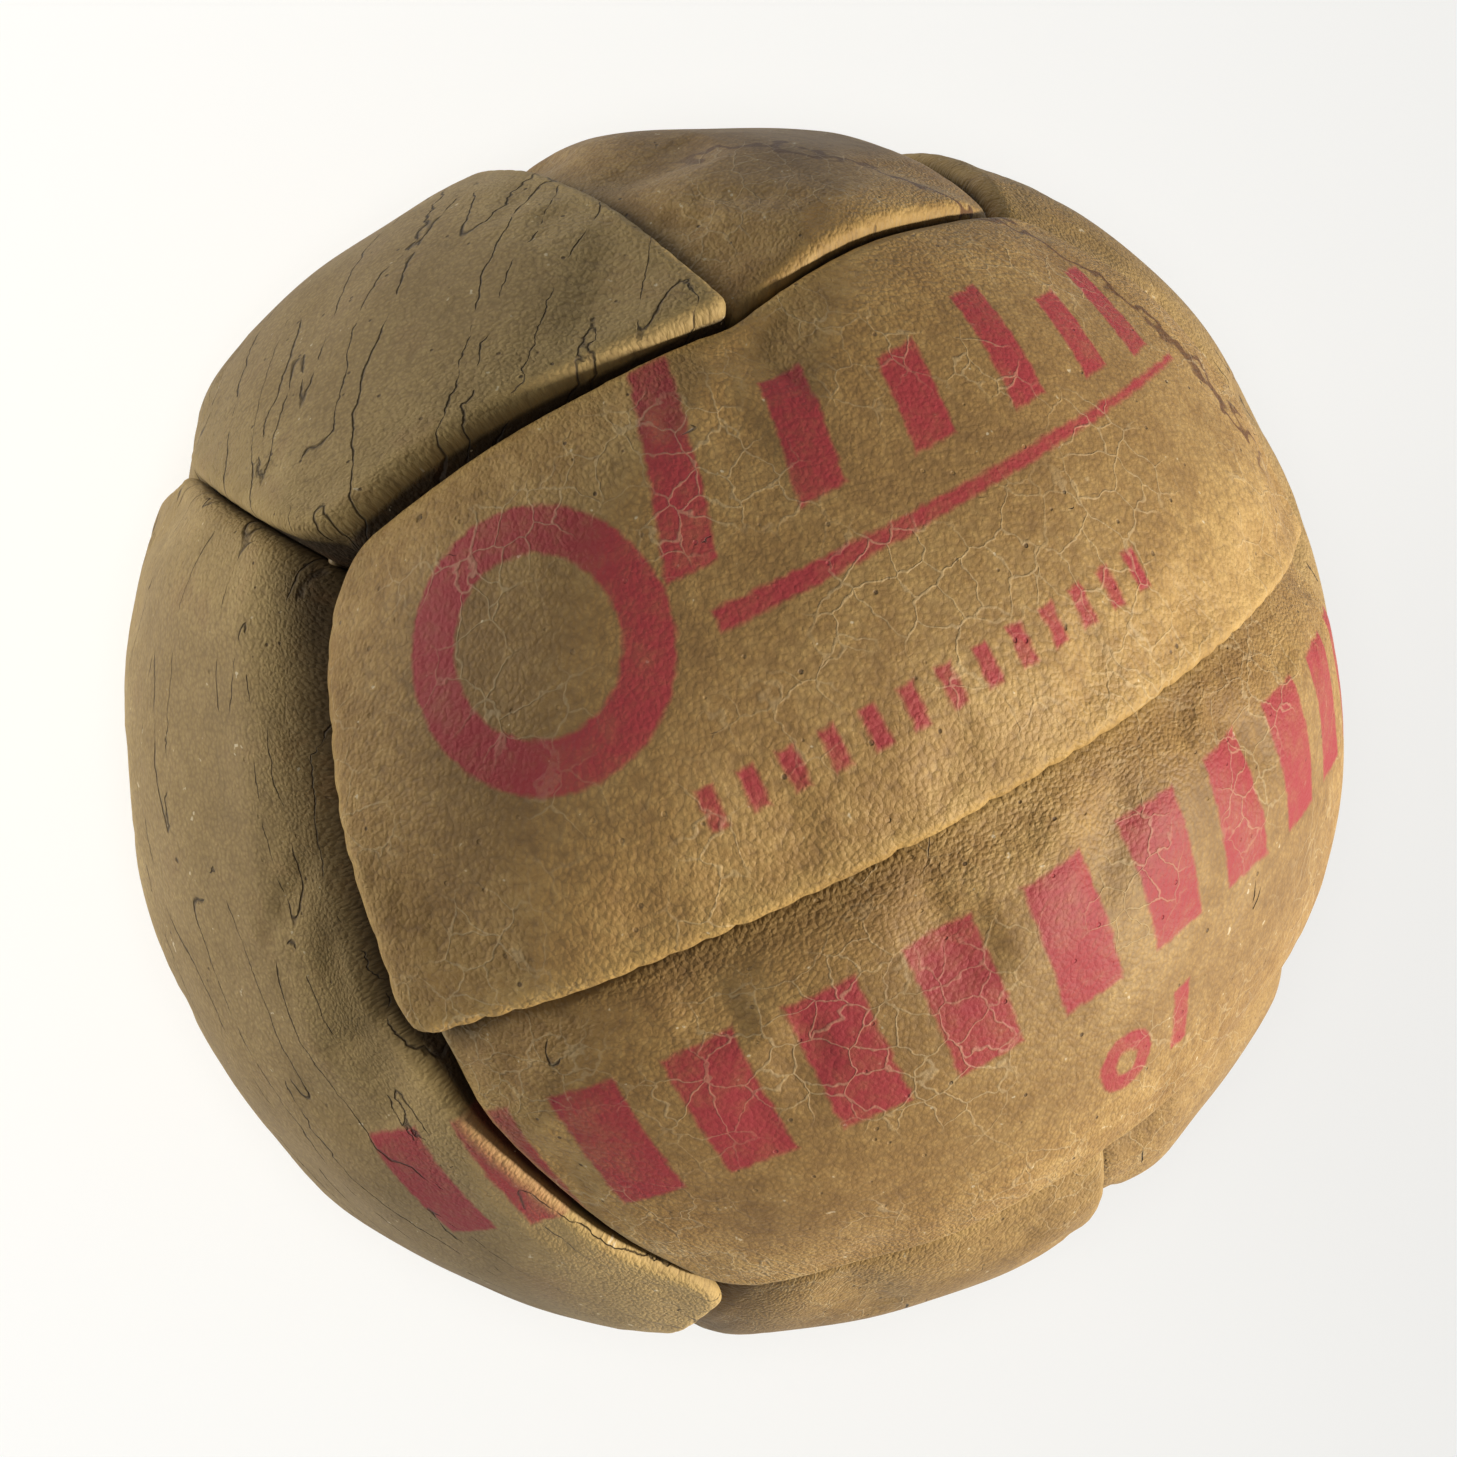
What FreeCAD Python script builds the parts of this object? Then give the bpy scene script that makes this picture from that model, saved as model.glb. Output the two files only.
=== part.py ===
"""Stitched leather medicine ball, in millimetres, with the origin at the ball's centre and +Z up.

The cover is twelve equal leather panels, two to each side of a cube that is blown up into a sphere.  The strips
on neighbouring sides run across each other, so each side's centre seam meets a tee at both ends.  A panel's
edges are turned down into the ball, canvas is glued behind it, and each seam is sewn through both turned-down
margins with waxed thread.  Fibre packing fills the ball.  Nothing on it moves.
"""
import FreeCAD, Part
import math
import os

from FreeCAD import Matrix, Placement, Vector

# Driving dimensions: alias, value, meaning.  Lengths are in millimetres and angles in degrees.
SIZES = (
    ("ball_radius", 125.0, "ball's centre to the crown of a panel"),
    ("leather_thickness", 2.8, "chrome-tanned hide, grain side out"),
    ("lining_thickness", 1.0, "canvas glued to the flesh side"),
    ("margin_depth", 16.0, "crown of a panel down to the raw edge of its turned-in margin"),
    ("edge_roll", 9.0, "outside radius where a panel turns down into a seam"),
    ("tee_shift", 6.15, "how far a centre seam runs on past the cube's edge, at each end"),
    ("stitch_depth", 12.0, "crown of a panel down to the line of stitches"),
    ("stitch_pitch", 5.0, "from one awl hole to the next"),
    ("thread_radius", 0.6, "thread where it goes through the leather"),
    ("run_radius", 0.65, "thread where it lies along the canvas"),
    ("knot_radius", 1.4, "knot at each end of a run of thread"),
    ("seam_end_gap", 5.0, "angle left unsewn beside each corner, where three panels meet"),
    ("packing_gap", 1.5, "room between the packing and the sewn margins, for the thread"),
)


def make_sheet(doc):
    """The spreadsheet that holds the driving dimensions, one row each."""
    sheet = doc.addObject("Spreadsheet::Sheet", "Sizes")
    for row, (alias, value, meaning) in enumerate(SIZES, start=1):
        sheet.set(f"A{row}", alias)
        sheet.set(f"B{row}", str(value))
        sheet.set(f"C{row}", meaning)
        sheet.setAlias(f"B{row}", alias)
    doc.recompute()
    return sheet


def value_of(sheet, alias):
    return float(sheet.get(alias))


def corner_points(sheet):
    """Directions of the five corners of the crown's far panel, in order, seen from outside.

    Two lie on the centre seam, at its ends, two are the cube's corners, and the last is the tee in the far edge.
    """
    reach = math.radians(45.0 + value_of(sheet, "tee_shift"))
    long_part = math.sin(reach)
    short_part = math.cos(reach)
    cube = 1.0 / math.sqrt(3.0)
    return {
        "seam_left": Vector(-long_part, 0, short_part),
        "seam_right": Vector(long_part, 0, short_part),
        "cube_right": Vector(cube, cube, cube),
        "tee": Vector(0, short_part, long_part),
        "cube_left": Vector(-cube, cube, cube),
    }


def seam_placement(start, end):
    """Puts local Z square to the plane of the seam from start to end, and local X at the seam's middle.

    The plane holds the ball's centre.  Local Z points away from the panel when start to end runs round it
    anticlockwise, seen from outside.
    """
    normal = end.cross(start).normalize()
    middle = (start + end).normalize()
    side = normal.cross(middle)
    return Placement(Matrix(
        middle.x, side.x, normal.x, 0,
        middle.y, side.y, normal.y, 0,
        middle.z, side.z, normal.z, 0,
        0, 0, 0, 1,
    ))


def add(doc, kind, name, **links):
    """A document object of that kind, with its links set."""
    made = doc.addObject(kind, name)
    for prop, target in links.items():
        setattr(made, prop, target)
    return made


def add_sphere(doc, name, radius):
    ball = add(doc, "Part::Sphere", name)
    ball.setExpression("Radius", radius)
    return ball


def add_wall(doc, name, start, end, inset):
    """A box that fills everything beyond the seam plane, moved inset millimetres into the panel."""
    box = add(doc, "Part::Box", name)
    box.setExpression("Length", "Sizes.ball_radius * 3")
    box.setExpression("Width", "Sizes.ball_radius * 3")
    box.setExpression("Height", "Sizes.ball_radius * 1.5")
    across = -1.5 * value_of(doc.Sizes, "ball_radius")
    box.Placement = seam_placement(start, end) * Placement(Vector(across, across, -inset), FreeCAD.Rotation())
    return box


def add_panel_block(doc, name, inset, radius, roll):
    """A solid block of the crown's far panel: its seam walls moved in, its crown at radius, its top edges rolled.

    inset, radius and roll are millimetres; the sphere's radius is bound as the ball's radius less its depth.
    """
    corner = corner_points(doc.Sizes)
    depth = value_of(doc.Sizes, "ball_radius") - radius
    crown = add_sphere(doc, f"{name}_crown", f"Sizes.ball_radius - {depth}")
    core = add_sphere(doc, f"{name}_core", "Sizes.ball_radius * 0.76")
    near = add_wall(doc, f"{name}_near_wall", corner["seam_left"], corner["seam_right"], inset)
    right = add_wall(doc, f"{name}_right_wall", corner["seam_right"], corner["cube_right"], inset)
    left = add_wall(doc, f"{name}_left_wall", corner["cube_left"], corner["seam_left"], inset)
    far_right = add_wall(doc, f"{name}_far_right_wall", corner["cube_right"], corner["tee"], inset)
    far_left = add_wall(doc, f"{name}_far_left_wall", corner["tee"], corner["cube_left"], inset)
    far = add(doc, "Part::MultiCommon", f"{name}_far_wall", Shapes=[far_right, far_left])
    outside = add(doc, "Part::MultiFuse", f"{name}_outside", Shapes=[near, right, left, far, core])
    block = add(doc, "Part::Cut", f"{name}_block", Base=crown, Tool=outside)
    doc.recompute()

    crown_edges = [
        (number, roll, roll)
        for number, edge in enumerate(block.Shape.Edges, start=1)
        if len(edge.Vertexes) == 2
        and edge.Length > 1.0
        and all(abs(v.Point.Length - radius) < 0.01 for v in edge.Vertexes)
    ]
    rolled = add(doc, "Part::Fillet", f"{name}_rolled", Base=block)
    rolled.Edges = crown_edges
    doc.recompute()
    return rolled


def stitch_count(sheet, start, end):
    """How many whole stitches lie on the seam from start to end, and the angle of each, in degrees."""
    radius = value_of(sheet, "ball_radius") - value_of(sheet, "stitch_depth")
    pitch = math.degrees(value_of(sheet, "stitch_pitch") / radius)
    sewn = math.degrees(start.getAngle(end)) - 2 * value_of(sheet, "seam_end_gap")
    return int(sewn // pitch), pitch


def add_stitch_legs(doc, name, start, end):
    """The thread's short legs, each through one awl hole in both margins, spaced about the seam's middle."""
    sheet = doc.Sizes
    count, pitch = stitch_count(sheet, start, end)
    seam = seam_placement(start, end)
    radius = value_of(sheet, "ball_radius") - value_of(sheet, "stitch_depth")
    half = margin_stack(sheet) + value_of(sheet, "run_radius")
    legs = []
    for number in range(count + 1):
        turn = FreeCAD.Rotation(Vector(0, 0, 1), (number - count / 2) * pitch)
        leg = add(doc, "Part::Cylinder", f"{name}_leg_{number}")
        leg.setExpression("Radius", "Sizes.thread_radius")
        leg.setExpression("Height", "2 * (Sizes.leather_thickness + Sizes.lining_thickness + Sizes.run_radius)")
        leg.Placement = seam * Placement(turn.multVec(Vector(radius, 0, -half)), FreeCAD.Rotation())
        legs.append(leg)
    return legs


def margin_stack(sheet):
    """Thickness of one panel's margin with its canvas."""
    return value_of(sheet, "leather_thickness") + value_of(sheet, "lining_thickness")


def add_thread(doc, name, start, end):
    """One sewn run: a length of thread along each side of the joined margins, the legs between, and end knots."""
    sheet = doc.Sizes
    count, pitch = stitch_count(sheet, start, end)
    sweep = count * pitch
    seam = seam_placement(start, end)
    radius = value_of(sheet, "ball_radius") - value_of(sheet, "stitch_depth")
    rise = margin_stack(sheet) + value_of(sheet, "run_radius")
    pieces = add_stitch_legs(doc, name, start, end)
    for side, height in (("a", rise), ("b", -rise)):
        run = add(doc, "Part::Torus", f"{name}_run_{side}")
        run.setExpression("Radius1", "Sizes.ball_radius - Sizes.stitch_depth")
        run.setExpression("Radius2", "Sizes.run_radius")
        run.Angle3 = sweep
        turn = FreeCAD.Rotation(Vector(0, 0, 1), -sweep / 2)
        run.Placement = seam * Placement(Vector(0, 0, height), turn)
        pieces.append(run)
        for stop, angle in (("first", -sweep / 2), ("last", sweep / 2)):
            knot = add_sphere(doc, f"{name}_{stop}_knot_{side}", "Sizes.knot_radius")
            lift = math.copysign(value_of(sheet, "knot_radius") - value_of(sheet, "run_radius"), height)
            spot = FreeCAD.Rotation(Vector(0, 0, 1), angle).multVec(Vector(radius, 0, height + lift))
            knot.Placement = seam * Placement(spot, FreeCAD.Rotation())
            pieces.append(knot)
    return add(doc, "Part::MultiFuse", name, Shapes=pieces)


def ball_turns():
    """The twelve turns that carry the crown's far panel onto each panel, by the place each one reaches."""
    third = FreeCAD.Rotation(Vector(1, 1, 1), 120.0)
    half_turns = {
        "same": FreeCAD.Rotation(),
        "about_z": FreeCAD.Rotation(Vector(0, 0, 1), 180.0),
        "about_x": FreeCAD.Rotation(Vector(1, 0, 0), 180.0),
        "about_y": FreeCAD.Rotation(Vector(0, 1, 0), 180.0),
    }
    places = (
        ("crown_far", "same", 0), ("crown_near", "about_z", 0),
        ("base_near", "about_x", 0), ("base_far", "about_y", 0),
        ("right_upper", "same", 1), ("left_upper", "about_z", 1),
        ("right_lower", "about_x", 1), ("left_lower", "about_y", 1),
        ("far_right", "same", 2), ("near_left", "about_z", 2),
        ("near_right", "about_x", 2), ("far_left", "about_y", 2),
    )
    turns = {}
    for place, half_turn, thirds in places:
        turn = half_turns[half_turn]
        for _ in range(thirds):
            turn = turn * third
        turns[place] = turn
    return turns


def add_copy(doc, label, pattern, turn):
    """A body that repeats the pattern piece, turned into its own place on the ball."""
    body = add(doc, "PartDesign::Body", label, BaseFeature=pattern)
    body.Label = label
    body.Placement = Placement(Vector(), turn)
    return body


def build(doc):
    """Makes every sub-part and returns them by label."""
    sheet = make_sheet(doc)
    corner = corner_points(sheet)
    radius = value_of(sheet, "ball_radius")
    roll = value_of(sheet, "edge_roll")
    leather = value_of(sheet, "leather_thickness")
    both = margin_stack(sheet)
    gap = value_of(sheet, "packing_gap")

    # The panel, its hollow and the room inside its canvas are the same block at three depths.
    outer = add_panel_block(doc, "grain_side", 0.0, radius, roll)
    hollow = add_panel_block(doc, "flesh_side", leather, radius - leather, roll - leather)
    room = add_panel_block(doc, "canvas_side", both, radius - both, roll - both)
    trim = add_sphere(doc, "raw_edge", "Sizes.ball_radius - Sizes.margin_depth")

    # Every seam round the pattern panel gives its awl holes.
    round_the_panel = ("seam_left", "seam_right", "cube_right", "tee", "cube_left")
    awls = []
    for start, end in zip(round_the_panel, round_the_panel[1:] + round_the_panel[:1]):
        awls += add_stitch_legs(doc, f"awl_{start}", corner[start], corner[end])

    leather_waste = add(doc, "Part::MultiFuse", "leather_waste", Shapes=[hollow, trim, *awls])
    panel_pattern = add(doc, "Part::Cut", "panel_pattern", Base=outer, Tool=leather_waste)
    canvas_waste = add(doc, "Part::MultiFuse", "canvas_waste", Shapes=[room, trim, *awls])
    lining_pattern = add(doc, "Part::Cut", "lining_pattern", Base=hollow, Tool=canvas_waste)

    # A centre seam is one sewn run; an edge seam is two, one each side of its tee.
    centre_pattern = add_thread(doc, "centre_thread_pattern", corner["seam_left"], corner["seam_right"])
    edge_pattern = add(doc, "Part::Compound", "edge_thread_pattern", Links=[
        add_thread(doc, "edge_thread_right", corner["cube_right"], corner["tee"]),
        add_thread(doc, "edge_thread_left", corner["tee"], corner["cube_left"]),
    ])
    pad_pattern = add_panel_block(doc, "pad", both + gap, radius - both, roll - both)
    doc.recompute()

    parts = {}
    pads = []
    for place, turn in ball_turns().items():
        face, half = place.split("_")
        for piece, pattern in (
            ("panel", panel_pattern),
            ("lining", lining_pattern),
            ("edge_thread", edge_pattern),
        ):
            label = f"{face}_{half}_{piece}"
            parts[label] = add_copy(doc, label, pattern, turn)
        pads.append(add_copy(doc, f"pad_{place}", pad_pattern, turn))
        if place in ("crown_far", "base_near", "right_upper", "left_upper", "far_right", "near_left"):
            label = f"{face}_centre_thread"
            parts[label] = add_copy(doc, label, centre_pattern, turn)

    heart = add_sphere(doc, "packing_heart", "Sizes.ball_radius - Sizes.margin_depth - 0.3")
    packing = add(doc, "Part::MultiFuse", "fibre_packing", Shapes=[heart, *pads])
    packing.Label = "fibre_packing"
    parts["fibre_packing"] = packing
    doc.recompute()
    return parts


def check(doc, parts):
    """Stops the build if any object failed or any sub-part has no sound shape."""
    for item in doc.Objects:
        if {"Invalid", "Error"} & set(item.State):
            raise RuntimeError(f"{item.Name} failed: {item.State}")
    for label, part in parts.items():
        if part.Shape.isNull() or not part.Shape.isValid() or not part.Shape.Solids:
            raise RuntimeError(f"{label} has no sound shape")


def main():
    doc = FreeCAD.newDocument("medicine_ball")
    parts = build(doc)
    check(doc, parts)
    os.makedirs("parts", exist_ok=True)
    for label, part in parts.items():
        part.Shape.exportStep(os.path.join("parts", f"{label}.step"))
        solids = part.Shape.Solids
        print(f"{label}: {len(solids)} solids, {sum(s.Volume for s in solids) / 1000:.2f} cm3")


main()
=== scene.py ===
import math

import bmesh
import bpy
import numpy
from mathutils import Matrix, Vector


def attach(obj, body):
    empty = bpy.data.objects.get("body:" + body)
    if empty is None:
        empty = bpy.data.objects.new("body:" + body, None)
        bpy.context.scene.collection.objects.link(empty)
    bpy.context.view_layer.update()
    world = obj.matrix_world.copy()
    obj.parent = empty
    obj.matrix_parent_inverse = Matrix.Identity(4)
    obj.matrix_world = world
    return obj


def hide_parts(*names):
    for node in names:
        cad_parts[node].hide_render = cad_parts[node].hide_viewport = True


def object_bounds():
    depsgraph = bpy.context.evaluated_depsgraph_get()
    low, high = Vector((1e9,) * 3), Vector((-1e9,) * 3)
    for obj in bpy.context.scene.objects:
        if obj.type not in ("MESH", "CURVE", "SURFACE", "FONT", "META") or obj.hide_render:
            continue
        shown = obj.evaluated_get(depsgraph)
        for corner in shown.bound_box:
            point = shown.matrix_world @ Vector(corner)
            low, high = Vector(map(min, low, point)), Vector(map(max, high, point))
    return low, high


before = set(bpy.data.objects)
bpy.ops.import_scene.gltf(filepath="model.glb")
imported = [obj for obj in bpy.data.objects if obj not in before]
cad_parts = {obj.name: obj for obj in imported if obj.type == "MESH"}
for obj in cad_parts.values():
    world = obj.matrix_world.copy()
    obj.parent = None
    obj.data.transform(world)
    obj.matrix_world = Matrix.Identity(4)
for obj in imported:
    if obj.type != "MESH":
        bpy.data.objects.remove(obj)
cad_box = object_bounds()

# The ball lies on a pale floor and is looked down on from about 70 degrees up, over the printed side.
# A low lamp on the right rakes across the seams, and the pale floor and a soft sky fill the rest.
ball_radius = (cad_box[1].z - cad_box[0].z) / 2
camera_distance = 3.2 * ball_radius
camera_side = Vector((-0.2918, 0.1959, 0.9362)).normalized()
camera_up = Vector((0.4674, 0.8832, -0.0391)).normalized()
camera_right = camera_up.cross(camera_side).normalized()


def stand_at(thing, side, distance, up):
    """Puts a camera or lamp at that distance from the ball's centre, looking at the ball."""
    across = up.cross(side).normalized()
    true_up = side.cross(across)
    turn = Matrix((across, true_up, side)).transposed().to_4x4()
    thing.matrix_world = Matrix.Translation(side * distance) @ turn
    bpy.context.scene.collection.objects.link(thing)


camera = bpy.data.objects.new("camera", bpy.data.cameras.new("camera"))
camera.data.lens = 45.5
camera.data.clip_start = 0.01
stand_at(camera, camera_side, camera_distance, camera_up)
bpy.context.scene.camera = camera
bpy.context.scene.view_settings.view_transform = "Standard"


def lamp(name, right, up, near, distance, size, watts, colour):
    """An area lamp, placed by how far right of, above and in front of the ball the camera sees it."""
    side = (camera_right * right + camera_up * up + camera_side * near).normalized()
    light = bpy.data.lights.new(name, "AREA")
    light.shape = "DISK"
    light.size = size
    light.energy = watts
    light.color = colour
    thing = bpy.data.objects.new(name, light)
    stand_at(thing, side, distance, Vector((0, 0.01, 1)))
    return thing


key_lamp = lamp("key_lamp", 0.90, -0.25, 0.35, 1.6, 0.14, 42.0, (1.0, 0.93, 0.82))
lamp("left_lamp", -0.90, 0.20, 0.36, 1.5, 0.7, 12.0, (1.0, 0.97, 0.86))
floor_lamp = lamp("floor_lamp", 0.0, 0.0, 1.0, 4.0, 3.0, 165.0, (1.0, 0.99, 0.97))

world = bpy.data.worlds.new("soft_sky")
bpy.context.scene.world = world
world.use_nodes = True
sky = world.node_tree.nodes["Background"]
sky.inputs["Color"].default_value = (0.93, 0.96, 1.0, 1.0)
sky.inputs["Strength"].default_value = 0.17
backdrop = world.node_tree.nodes.new("ShaderNodeBackground")
backdrop.inputs["Color"].default_value = (0.96, 0.96, 0.95, 1.0)
backdrop.inputs["Strength"].default_value = 0.92
either = world.node_tree.nodes.new("ShaderNodeMixShader")
seen = world.node_tree.nodes.new("ShaderNodeLightPath")
world.node_tree.links.new(seen.outputs["Is Camera Ray"], either.inputs[0])
world.node_tree.links.new(sky.outputs[0], either.inputs[1])
world.node_tree.links.new(backdrop.outputs[0], either.inputs[2])
world.node_tree.links.new(either.outputs[0], world.node_tree.nodes["World Output"].inputs["Surface"])

floor_mesh = bpy.data.meshes.new("floor")
floor_bm = bmesh.new()
bmesh.ops.create_grid(floor_bm, x_segments=1, y_segments=1, size=3.0)
bmesh.ops.translate(floor_bm, verts=floor_bm.verts, vec=(0, 0, cad_box[0].z))
floor_bm.to_mesh(floor_mesh)
floor_bm.free()
floor = bpy.data.objects.new("floor", floor_mesh)
bpy.context.scene.collection.objects.link(floor)
floor_paint = bpy.data.materials.new("pale_floor")
floor_paint.use_nodes = True
floor_paint.node_tree.nodes["Principled BSDF"].inputs["Base Color"].default_value = (0.93, 0.93, 0.92, 1)
floor_paint.node_tree.nodes["Principled BSDF"].inputs["Roughness"].default_value = 0.9
floor_mesh.materials.append(floor_paint)

# The raking lamp passes the floor by, which a lamp of its own keeps white.
floor_only = bpy.data.collections.new("floor_only")
floor_only.objects.link(floor)
floor_lamp.light_linking.receiver_collection = floor_only
all_but_floor = bpy.data.collections.new("all_but_floor")
all_but_floor.objects.link(floor)
all_but_floor.collection_objects[0].light_linking.link_state = "EXCLUDE"
key_lamp.light_linking.receiver_collection = all_but_floor

# The cover: twelve panels of thick tan leather, two to each side of a cube that is blown up into a sphere.
# Each panel's edges are turned down into the ball and sewn to its neighbours' through the margins, one stitch
# every five millimetres, so each edge is a soft roll, pulled in a little at every stitch.
leather_thickness = 0.0028
panel_length = 1.53 * ball_radius
panel_width = 0.66 * ball_radius
fold_depth = 0.006
margin_depth = 0.0150
margin_width = margin_depth - fold_depth
stitch_depth = 0.0120
stitch_turn = 0.005 / (ball_radius - stitch_depth)
tee_reach = math.radians(45.0 + 6.15)
cube = 1 / math.sqrt(3)
corners = {
    "seam_left": numpy.array((-math.sin(tee_reach), 0, math.cos(tee_reach))),
    "seam_right": numpy.array((math.sin(tee_reach), 0, math.cos(tee_reach))),
    "cube_right": numpy.array((cube, cube, cube)),
    "tee": numpy.array((0, math.cos(tee_reach), math.sin(tee_reach))),
    "cube_left": numpy.array((-cube, cube, cube)),
}
sides = {
    "near": ("seam_left", "seam_right"),
    "right": ("seam_right", "cube_right"),
    "far_right": ("cube_right", "tee"),
    "far_left": ("tee", "cube_left"),
    "left": ("cube_left", "seam_left"),
}


def panel_turns():
    """The turn that carries the crown's far panel onto each of the twelve, by place."""
    third = numpy.array(((0, 0, 1), (1, 0, 0), (0, 1, 0)), float)
    halves = {
        "same": numpy.diag((1.0, 1.0, 1.0)),
        "about_z": numpy.diag((-1.0, -1.0, 1.0)),
        "about_x": numpy.diag((1.0, -1.0, -1.0)),
        "about_y": numpy.diag((-1.0, 1.0, -1.0)),
    }
    names = (
        ("crown_far", "crown_near", "base_near", "base_far"),
        ("right_upper", "left_upper", "right_lower", "left_lower"),
        ("far_right", "near_left", "near_right", "far_left"),
    )
    return {
        name: half @ numpy.linalg.matrix_power(third, thirds)
        for thirds, row in enumerate(names)
        for name, half in zip(row, halves.values())
    }


turns = panel_turns()


def seam_axes(start, end):
    """A seam's unit directions: into the panel on its left, to its middle, along it. And half its angle."""
    inward = numpy.cross(start, end)
    inward = inward / numpy.linalg.norm(inward)
    middle = (start + end) / numpy.linalg.norm(start + end)
    along = numpy.cross(inward, middle)
    half = math.acos(float(numpy.clip(start @ end, -1, 1))) / 2
    return inward, middle, along, half


# How the two panels meet at each seam, in millimetres: the panel that stands proud and the one tucked under
# it, then pairs of values for the two ends of the proud panel's side.
# lift: how far the proud edge stands up; dip: how far the other edge sinks; lean: how far the proud edge
# hangs over the seam, or the tucked one over the proud one where it is negative; gape: how far each roll
# stands back; proud_roll and tucked_roll: each edge's fold radius; gathers: how strongly the stitches gather
# the folded edges, as a plain number.
meetings = {
    ("crown_far", "crown_near"): dict(
        lift=(0.3, 0.1), dip=(3.4, 4.0), lean=(3.6, 6.0), gape=(0.2, 0.1), gathers=1.0,
        proud_roll=(2.4, 2.4), tucked_roll=(2.6, 3.0)),
    ("far_left", "crown_far"): dict(
        lift=(0.2, 0.9), dip=(3.2, 0.7), lean=(-3.6, -1.2), gape=(0.7, 0.8),
        proud_roll=(3.8, 2.2), tucked_roll=(7.0, 2.4)),
    ("far_right", "crown_far"): dict(
        lift=(0.9, 0.3), dip=(0.7, 0.5), lean=(-1.2, -1.6), gape=(0.8, 0.3),
        proud_roll=(2.2, 2.6), tucked_roll=(2.4, 4.0)),
    ("crown_far", "left_upper"): dict(
        lift=(0.6, 0.8), dip=(5.4, 4.0), lean=(5.2, 4.2), gape=(2.4, 5.2), gathers=0.9,
        proud_roll=(8.0, 3.6), tucked_roll=(9.0, 5.0)),
    ("far_left", "far_right"): dict(
        lift=(0.6, 0.6), dip=(3.2, 4.2), lean=(1.4, 1.4), gape=(0.1, 0.1),
        proud_roll=(2.3, 2.6), tucked_roll=(4.0, 7.5)),
    ("left_upper", "crown_near"): dict(
        lift=(0.2, 0.4), dip=(0.3, 0.8), lean=(2.5, 0.3), gape=(1.2, 1.8),
        proud_roll=(2.3, 2.3), tucked_roll=(3.4, 2.6)),
    ("far_left", "left_upper"): dict(
        lift=(0.4, 0.4), dip=(2.8, 3.2), lean=(-3.0, 0.4), gape=(0.1, 0.1),
        proud_roll=(2.6, 3.0), tucked_roll=(5.0, 6.0)),
    ("crown_near", "near_left"): dict(
        lift=(0.3, 0.3), dip=(2.0, 2.2), lean=(1.2, 1.2), gape=(0.0, 0.0),
        proud_roll=(4.0, 4.5), tucked_roll=(5.0, 5.0)),
    ("crown_near", "near_right"): dict(
        lift=(0.3, 0.3), dip=(2.2, 2.6), lean=(1.2, 1.2), gape=(0.0, 0.0),
        proud_roll=(4.0, 4.0), tucked_roll=(5.0, 5.0)),
    ("left_upper", "near_left"): dict(
        lift=(0.5, 0.4), dip=(2.6, 3.0), lean=(4.5, 4.5), gape=(0.6, 0.4),
        proud_roll=(2.6, 3.2), tucked_roll=(5.0, 6.0)),
    ("near_left", "near_right"): dict(
        lift=(0.7, 0.5), dip=(3.4, 3.4), lean=(1.0, 1.2), gape=(0.5, 0.2),
        proud_roll=(2.6, 3.0), tucked_roll=(6.0, 6.0)),
    ("crown_far", "right_upper"): dict(
        lift=(0.6, 0.6), dip=(3.0, 3.0), lean=(1.4, 1.4), gape=(0.0, 0.0),
        proud_roll=(4.0, 5.0), tucked_roll=(6.0, 6.0)),
}
plain_meeting = dict(
    lift=(0.3, 0.3), dip=(2.6, 3.0), lean=(1.0, 1.2), gape=(0.2, 0.4),
    proud_roll=(2.8, 3.6), tucked_roll=(5.0, 6.0))

# How round each panel's corners are, in metres: nearly square where a half panel ends in the middle of a side
# of the cube, rounder where three panels meet at a corner of it, and roundest where the crown has slumped.
corner_rounding = {"seam_left": 0.0030, "seam_right": 0.0030, "cube_right": 0.0080, "cube_left": 0.0080}
slumped_corners = {("crown_far", "seam_left"): 0.0080, ("crown_far", "cube_left"): 0.0110}


def find_seams():
    """Each panel's sides: their axes, how the panels meet there and whether this panel is the proud one."""
    by_middle = {}
    for place, turn in turns.items():
        for side, (start, end) in sides.items():
            axes = seam_axes(turn @ corners[start], turn @ corners[end])
            by_middle.setdefault(tuple(numpy.round(axes[1], 3) + 0.0), []).append((place, side, axes))
    found = {place: {} for place in turns}
    for pair in by_middle.values():
        (one, one_side, one_axes), (other, other_side, other_axes) = pair
        if (other, one) in meetings:
            (one, one_side, one_axes), (other, other_side, other_axes) = pair[1], pair[0]
        meeting = meetings.get((one, other), plain_meeting)
        found[one][one_side] = (one_axes, meeting, True)
        found[other][other_side] = (other_axes, meeting, False)
    return found


seams = find_seams()


def steps_to_fold(span, pitch):
    """Rows of a flat panel, raw edge to raw edge: each one's share of the span, and how far past the fold."""
    margin_pitch = pitch * 1.3
    fold_pitch = pitch * 0.85
    past = numpy.linspace(margin_width, 0, max(2, round(margin_width / margin_pitch)) + 1)[:-1]
    turned = numpy.linspace(math.pi / 2, 0, round(fold_depth * math.pi / 2 / fold_pitch) + 1)
    rolled = fold_depth * (1 - numpy.sin(turned))
    flat = numpy.linspace(fold_depth, span - fold_depth, round((span - 2 * fold_depth) / pitch) + 1)[1:-1]
    inside = numpy.concatenate((past * 0, rolled, flat, span - rolled[::-1], past * 0 + span))
    beyond = numpy.concatenate((past, rolled * 0, flat * 0, rolled * 0, past[::-1]))
    return inside / span, beyond


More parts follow.
